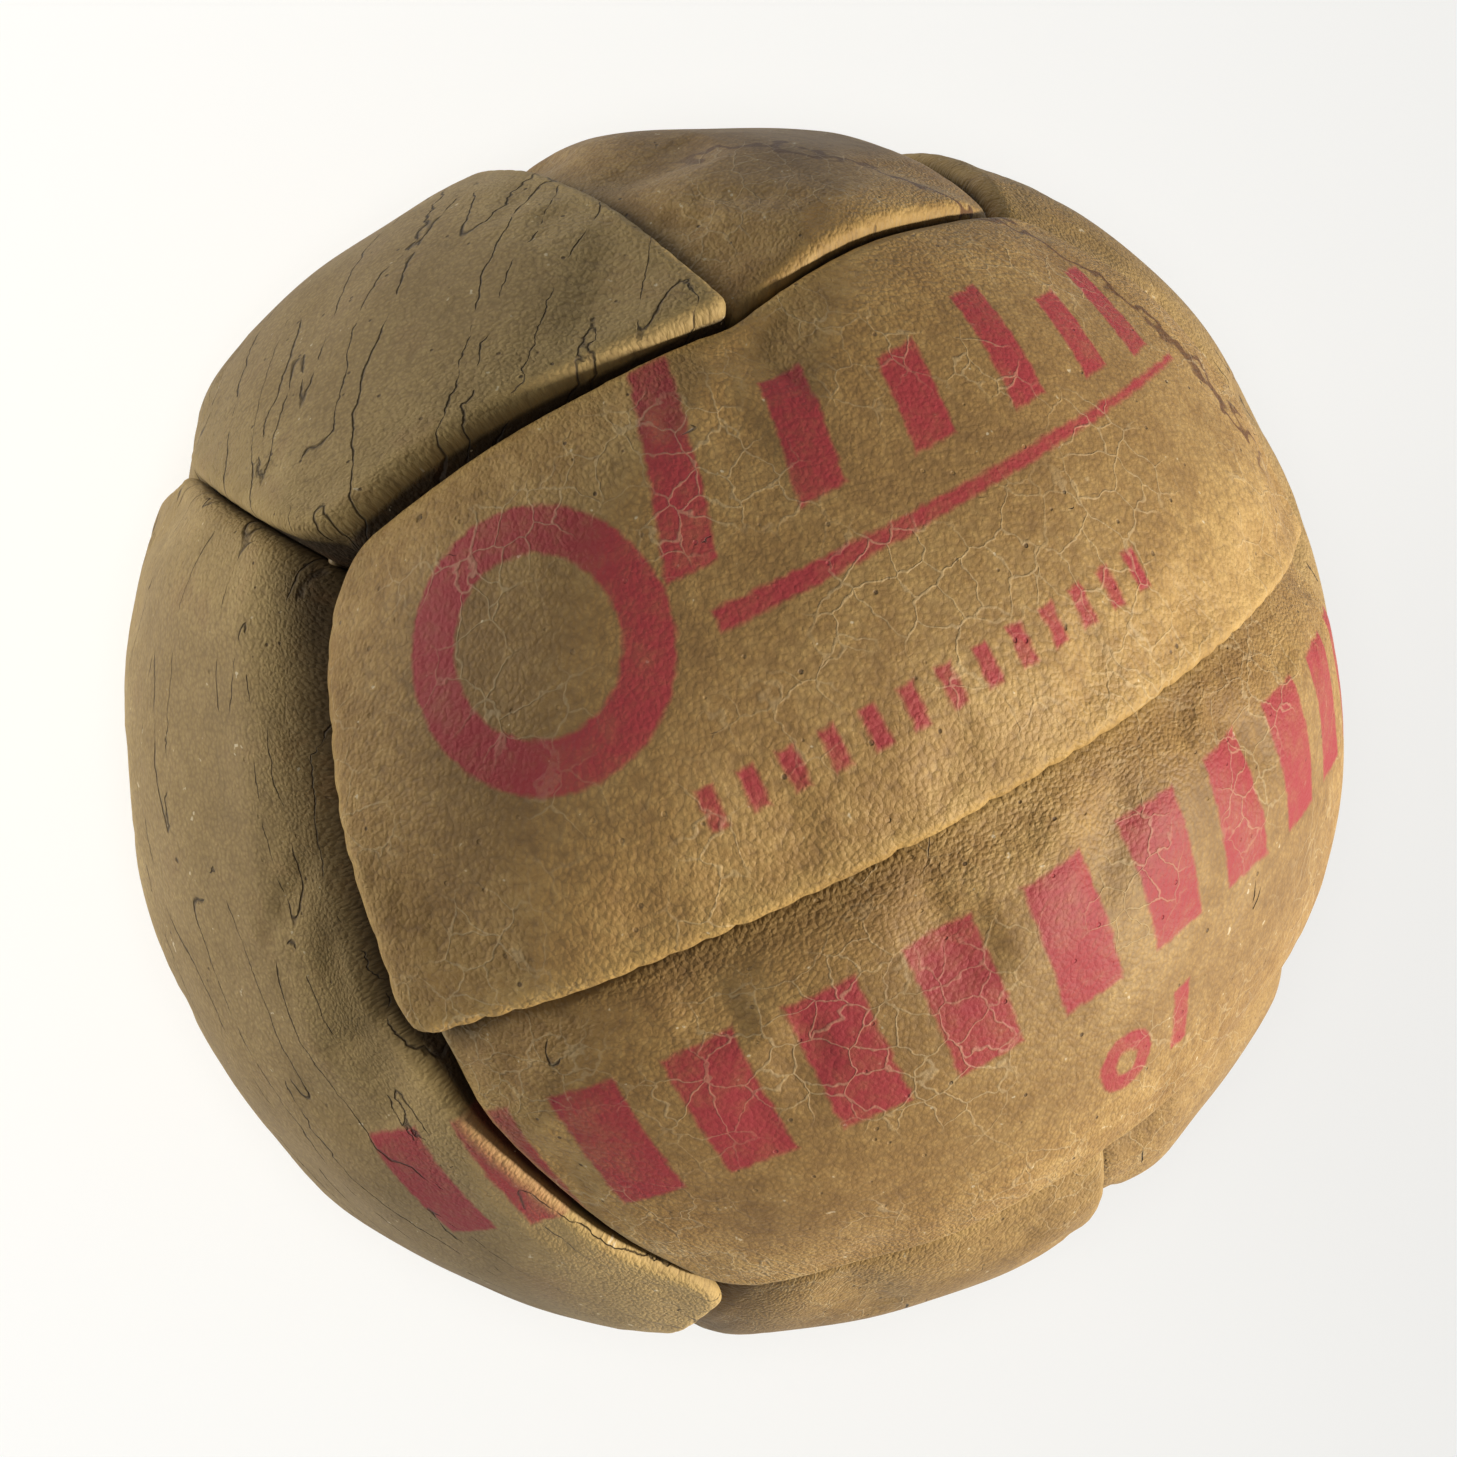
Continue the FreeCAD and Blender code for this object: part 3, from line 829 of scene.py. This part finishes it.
    # The print, worn thin on the grain's tops and blurred where it has bled.
    x, y, z = parts(nudged(where, 0.0020, 0.0012, 1.0))
    along = calc("MULTIPLY", calc("ARCTAN2", x, z), ball_radius)
    risen = calc("ARCSINE", calc("DIVIDE", y, height))
    across = calc("MULTIPLY", risen, ball_radius)
    on_crown = socket_of(tree, "ShaderNodeCombineXYZ", {"X": along, "Y": across})
    mask = placed(tree, marks_group, {"Vector": on_crown})["Mask"]
    worn = calc("MULTIPLY_ADD", fine, 0.5, calc("MULTIPLY", middle, 0.6))
    ink = calc("MULTIPLY", mask, remap(worn, 0.45, 0.75, 0.92, 0.70))
    ink = calc("MULTIPLY", ink, remap(from_seam, 0.0, 0.004, 0.2, 1.0))
    colour = blend_colour(ink, colour, (0.330, 0.030, 0.045, 1))

    # Cracks: dark on the driest panels, and a pale crackle on the rest.
    inputs = {"Vector": hide, "Width": 0.00042, "Spread": dryness}
    crack = placed(tree, cracks_group, inputs)["Line"]
    colour = blend_colour(calc("MULTIPLY", crack, 0.85), colour, (0.040, 0.024, 0.013, 1))
    crackle = nudged(hide, 0.0040, 0.0034, 2.0)
    crackle = cells(crackle, 0.0066, "DISTANCE_TO_EDGE")
    thin = remap(crackle, 0.006, 0.034, 1.0, 0.0)
    spots = mottle(hide, 0.026, 1.0)
    crackled = calc("MULTIPLY", thin, remap(spots, 0.44, 0.60, 0.0, 1.0))
    crackled = calc("MULTIPLY", crackled, remap(dryness, 0.3, 0.7, 1.0, 0.0))
    colour = blend_colour(calc("MULTIPLY", crackled, 0.25), colour, (0.620, 0.500, 0.300, 1))
    tone = stored(tree, "tone")
    colour = socket_of(tree, "ShaderNodeHueSaturation", {"Color": colour, "Value": tone})

    rough = calc("MULTIPLY_ADD", middle, -0.25, 0.74)
    rough = calc("MULTIPLY_ADD", dryness, 0.10, rough)
    shader.inputs["IOR"].default_value = 1.45
    shader.inputs["Specular IOR Level"].default_value = 0.38

    raised = calc("MULTIPLY_ADD", grain["Pores"], -0.7, grain["Height"])
    raised = calc("MULTIPLY_ADD", crack, -2.0, raised)
    raised = calc("MULTIPLY_ADD", crackled, 0.25, raised)
    finish_paint(tree, shader, colour, rough, raised, 1.0, 0.00024)
    return paint


grain_group = pebbled_grain()
cracks_group = dry_cracks()
marks_group = stencil_marks()
tan_leather = leather_material()

# How dry each panel is (0.35 where nothing is said), how light, and how far its cracks lie from its length.
dryness = {
    "crown_far": 0.12, "crown_near": 0.06, "left_upper": 0.92, "far_left": 0.97, "far_right": 0.08,
    "near_left": 0.30, "near_right": 0.25, "right_upper": 0.55, "left_lower": 0.75, "base_far": 0.60,
}
tones = {
    "crown_far": 1.04, "far_left": 0.92, "far_right": 0.86, "left_upper": 1.18, "near_left": 0.94,
    "base_near": 0.90, "base_far": 1.05,
}
cut_angles = {"far_left": -41, "far_right": 20, "crown_far": -15, "crown_near": 60, "base_far": 35}
swollen = None
swollen, lines_along, lines_across = swollen_by_packing()
hide_step = 0.37
leather_pattern = flat_panel("panel_pattern", 0.0009)
flat, directions, past, on_hide = leather_pattern
for number, place in enumerate(turns):
    mesh, from_edge = stuffed(leather_pattern, place)
    cut_at = math.radians(cut_angles.get(place, 0))
    along_hide = on_hide[:, 0] * math.cos(cut_at) + on_hide[:, 1] * math.sin(cut_at)
    across_hide = on_hide[:, 1] * math.cos(cut_at) - on_hide[:, 0] * math.sin(cut_at)
    keep(mesh, "from_seam", numpy.where(past > 0, -past, numpy.maximum(from_edge, 0)))
    keep(mesh, "dryness", dryness.get(place, 0.35))
    keep(mesh, "tone", tones.get(place, 1.0))
    keep(mesh, "hide", numpy.stack((along_hide, across_hide, past * 0 + hide_step * number), 1))
    mesh.materials.append(tan_leather)
    panel = shell(f"{place}_cover", mesh, leather_thickness)
    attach(panel, "root")
    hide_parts(f"{place}_panel")
bpy.data.meshes.remove(flat)

# The linings: under each panel a piece of stout cotton canvas, cut to the same pattern and sewn in with it,
# which keeps the leather from stretching.  It follows the panel's inside and runs down inside both margins.
canvas_thickness = 0.0010
canvas_clearance = 0.0002


def plain_weave():
    """Over-and-under threads of a plain weave, and the pits between them."""
    tree, given, result = effect(
        "plain_weave",
        {"Vector": "NodeSocketVector", "Pitch": "NodeSocketFloat"},
        {"Height": "NodeSocketFloat"},
    )
    x, y, z = parts(given["Vector"])
    warp = calc("DIVIDE", x, given["Pitch"])
    weft = calc("DIVIDE", y, given["Pitch"])
    round_warp = calc("ABSOLUTE", calc("SINE", calc("MULTIPLY", warp, math.pi)))
    round_weft = calc("ABSOLUTE", calc("SINE", calc("MULTIPLY", weft, math.pi)))
    places = calc("ADD", calc("FLOOR", warp), calc("FLOOR", weft))
    over = calc("PINGPONG", places, 1.0)
    warp_top = calc("MULTIPLY", round_warp, calc("MULTIPLY_ADD", round_weft, 0.5, 0.5))
    weft_top = calc("MULTIPLY", round_weft, calc("MULTIPLY_ADD", round_warp, 0.5, 0.5))
    difference = calc("SUBTRACT", warp_top, weft_top)
    height = calc("MULTIPLY_ADD", difference, over, weft_top)
    tree.links.new(height, result.inputs["Height"])
    return tree


weave_group = plain_weave()


def canvas_material():
    """Unbleached cotton duck, browned by the leather, with slubs in its thread."""
    paint, tree, shader = new_paint("lining_canvas")
    hide = stored(tree, "hide", "Vector")
    weave = placed(tree, weave_group, {"Vector": hide, "Pitch": 0.00075})["Height"]
    drawn = vector_calc("MULTIPLY", hide, (0.12, 1.0, 1.0))
    slub = mottle(drawn, 0.0012, 2.0)
    stained = remap(mottle(hide, 0.020, 3.0), 0.35, 0.65)
    colour = blend_colour(stained, (0.560, 0.470, 0.320, 1), (0.400, 0.300, 0.170, 1))
    colour = blend_colour(remap(weave, 0.0, 0.5, 0.55, 0.0), colour, (0.180, 0.130, 0.075, 1))
    colour = blend_colour(remap(slub, 0.5, 0.75, 0.0, 0.35), colour, (0.680, 0.600, 0.440, 1))
    rough = remap(weave, 0.0, 1.0, 0.95, 0.82)
    height = calc("MULTIPLY_ADD", slub, 0.4, weave)
    finish_paint(tree, shader, colour, rough, height, 0.9, 0.00018)
    return paint


canvas = canvas_material()
lining_pattern = flat_panel("lining_pattern", 0.0024)
flat, directions, past, on_hide = lining_pattern
for number, place in enumerate(turns):
    mesh, from_edge = stuffed(lining_pattern, place, leather_thickness + canvas_clearance)
    keep(mesh, "hide", numpy.stack((on_hide[:, 0], on_hide[:, 1], past * 0 + hide_step * number), 1))
    mesh.materials.append(canvas)
    lining = shell(f"{place}_canvas", mesh, canvas_thickness)
    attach(lining, "root")
    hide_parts(f"{place}_lining")
bpy.data.meshes.remove(flat)

# The thread: two waxed linen strands sew every seam, each passing through the other's awl holes, so that one
# lies on each side of both margins between any two holes.  Each run starts and ends with a knot.
thread_radius = 0.0006
knot_radius = 0.0014
seam_end_gap = math.radians(5.0)
half_margin = leather_thickness + canvas_thickness + canvas_clearance + thread_radius


def waxed_thread_material():
    """Linen thread laid up from three plies, brown with wax and handling."""
    paint, tree, shader = new_paint("waxed_thread")
    laid = stored(tree, "laid_along", "Vector")
    x, y, z = parts(laid)
    turned = calc("MULTIPLY_ADD", x, 1 / 0.0022, calc("MULTIPLY", y, 3.0))
    ply = calc("ABSOLUTE", calc("SINE", calc("MULTIPLY", turned, math.pi)))
    where = socket_of(tree, "ShaderNodeTexCoord", outputs="Object")
    dirt_and_shade = remap(mottle(where, 0.006, 3.0), 0.35, 0.65)
    colour = blend_colour(dirt_and_shade, (0.330, 0.230, 0.110, 1), (0.180, 0.115, 0.052, 1))
    colour = blend_colour(remap(ply, 0.0, 0.5, 0.7, 0.0), colour, (0.060, 0.038, 0.018, 1))
    finish_paint(tree, shader, colour, remap(ply, 0.0, 1.0, 0.75, 0.48), ply, 1.0, 0.00020)
    return paint


def strand_route(axes, first_side):
    """One strand's route along a seam: through a hole, along one side of the margins and through the next."""
    inward, middle, along, half = axes
    holes = int((half - seam_end_gap) / stitch_turn)
    route = []
    for hole in range(-holes, holes + 1):
        side = first_side * (-1) ** hole
        for share, offset in ((0.0, 0.0), (0.16, 0.9), (0.5, 1.04), (0.84, 0.9)):
            if hole == holes and share > 0:
                break
            turn = (hole + share) * stitch_turn
            outward = middle * math.cos(turn) + along * math.sin(turn)
            shift = float(packing_lumps(outward[None], outward[None] * ball_radius)[0])
            depth = stitch_depth + first_side * thread_radius * 0.95 * (1 - offset)
            route.append(outward * (ball_radius - depth + shift) + inward * side * offset * half_margin)
    return numpy.array(route)


def strands(name, runs):
    """Both strands of every run of thread, and their knots, as one mesh."""
    curve = bpy.data.curves.new(name, "CURVE")
    curve.dimensions = "3D"
    curve.bevel_depth = thread_radius
    curve.bevel_resolution = 1
    curve.resolution_u = 2
    curve.use_fill_caps = True
    knots = []
    for axes in runs:
        for first_side in (1, -1):
            route = strand_route(axes, first_side)
            weighted = numpy.concatenate((route, numpy.ones((len(route), 1))), 1)
            spline = curve.splines.new("NURBS")
            spline.points.add(len(route) - 1)
            spline.points.foreach_set("co", weighted.ravel())
            spline.order_u = 3
            spline.use_endpoint_u = True
            knots += [route[0], route[-1]]
    drawn = bpy.data.objects.new(name, curve)
    mesh = bpy.data.meshes.new_from_object(drawn)
    bm = bmesh.new()
    bm.from_mesh(mesh)
    for knot in knots:
        there = Matrix.Translation(Vector(knot)) @ Matrix.Diagonal((1.0, 1.0, 0.8, 1.0))
        bmesh.ops.create_icosphere(bm, subdivisions=2, radius=knot_radius, matrix=there)
    bm.to_mesh(mesh)
    bm.free()
    bpy.data.objects.remove(drawn)
    bpy.data.curves.remove(curve)
    return mesh


thread_paint = waxed_thread_material()
sewn_by = {
    "crown": "crown_far", "base": "base_far", "right": "right_upper",
    "left": "left_upper", "far": "far_right", "near": "near_left",
}
thread_runs = {}
for place in turns:
    thread_runs[f"{place}_edge_thread"] = [seams[place]["far_right"][0], seams[place]["far_left"][0]]
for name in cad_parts:
    if name.endswith("_centre_thread"):
        thread_runs[name] = [seams[sewn_by[name.split("_")[0]]]["near"][0]]
for name, runs in thread_runs.items():
    mesh = strands(f"{name}_strands", runs)
    points = numpy.empty(len(mesh.vertices) * 3)
    mesh.vertices.foreach_get("co", points)
    points = points.reshape(-1, 3)
    inward, middle, along, half = runs[0]
    along_run = numpy.arctan2(points @ along, points @ middle) * ball_radius
    around = numpy.arctan2(points @ inward, numpy.linalg.norm(points, axis=1) - ball_radius + stitch_depth)
    keep(mesh, "laid_along", numpy.stack((along_run, around / math.pi, along_run * 0), 1))
    mesh.shade_smooth()
    mesh.materials.append(thread_paint)
    thread = bpy.data.objects.new(f"{name}_strands", mesh)
    bpy.context.scene.collection.objects.link(thread)
    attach(thread, "root")
    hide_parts(name)

# The packing: a ball of teased fibre, rammed in until it is nearly hard.  It fills each canvas pocket and is
# creased by the sewn margins, which hang down into it along every seam.
packing_clearance = 0.0008
margin_room = 0.0062


def packing_material():
    """Matted kapok and rag fibre: pale strands lying every way over darker, denser wads."""
    paint, tree, shader = new_paint("fibre_packing")
    where = socket_of(tree, "ShaderNodeTexCoord", outputs="Object")
    swirled = nudged(where, 0.018, 0.030, 2.0)
    drawn = vector_calc("MULTIPLY", swirled, (0.10, 1.0, 0.8))
    fibres = mottle(drawn, 0.0011, 3.0, 0.7)
    crossed = vector_calc("MULTIPLY", swirled, (0.9, 0.12, 1.0))
    fibres = calc("MAXIMUM", fibres, mottle(crossed, 0.0013, 3.0, 0.7))
    wads = remap(mottle(where, 0.022, 3.0), 0.35, 0.65)
    colour = blend_colour(wads, (0.430, 0.350, 0.235, 1), (0.270, 0.205, 0.125, 1))
    colour = blend_colour(remap(fibres, 0.5, 0.75), colour, (0.600, 0.530, 0.400, 1))
    finish_paint(tree, shader, colour, remap(fibres, 0.3, 0.8, 0.98, 0.85), fibres, 1.0, 0.0009)
    return paint


bm = bmesh.new()
bmesh.ops.create_icosphere(bm, subdivisions=6, radius=1.0)
fibre_mesh = bpy.data.meshes.new("fibre_ball")
bm.to_mesh(fibre_mesh)
bm.free()
directions = numpy.empty(len(fibre_mesh.vertices) * 3)
fibre_mesh.vertices.foreach_get("co", directions)
directions = directions.reshape(-1, 3)
pocket_room = numpy.full(len(directions), 1.0)
for place in turns:
    for inward, middle, along, half in (axes for axes, meeting, proud in seams[place].values()):
        inside = numpy.arcsin(numpy.clip(directions @ inward, -1, 1))
        beyond = numpy.maximum(numpy.abs(numpy.arctan2(directions @ along, directions @ middle)) - half, 0)
        pocket_room = numpy.minimum(pocket_room, ball_radius * numpy.hypot(inside, beyond))
under_sheets = leather_thickness + canvas_thickness + canvas_clearance + packing_clearance
creased = (margin_depth + 0.006) * (1 - ease((pocket_room - margin_room) / 0.009))
sunk = 0.0055 * (1 - ease(pocket_room / 0.019))
on_ball = directions * ball_radius
wadded = 0.0005 * swell(on_ball, 0.011, 21) + 0.0003 * swell(on_ball, 0.005, 22)
reach = ball_radius - under_sheets - creased - sunk + wadded - 0.0008
reach = reach + packing_lumps(directions, on_ball)
fibre_mesh.vertices.foreach_set("co", rested(directions * reach[:, None], under_sheets).ravel())
fibre_mesh.shade_smooth()
fibre_mesh.materials.append(packing_material())
fibre_ball = bpy.data.objects.new("fibre_ball", fibre_mesh)
bpy.context.scene.collection.objects.link(fibre_ball)
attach(fibre_ball, "root")
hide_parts("fibre_packing")
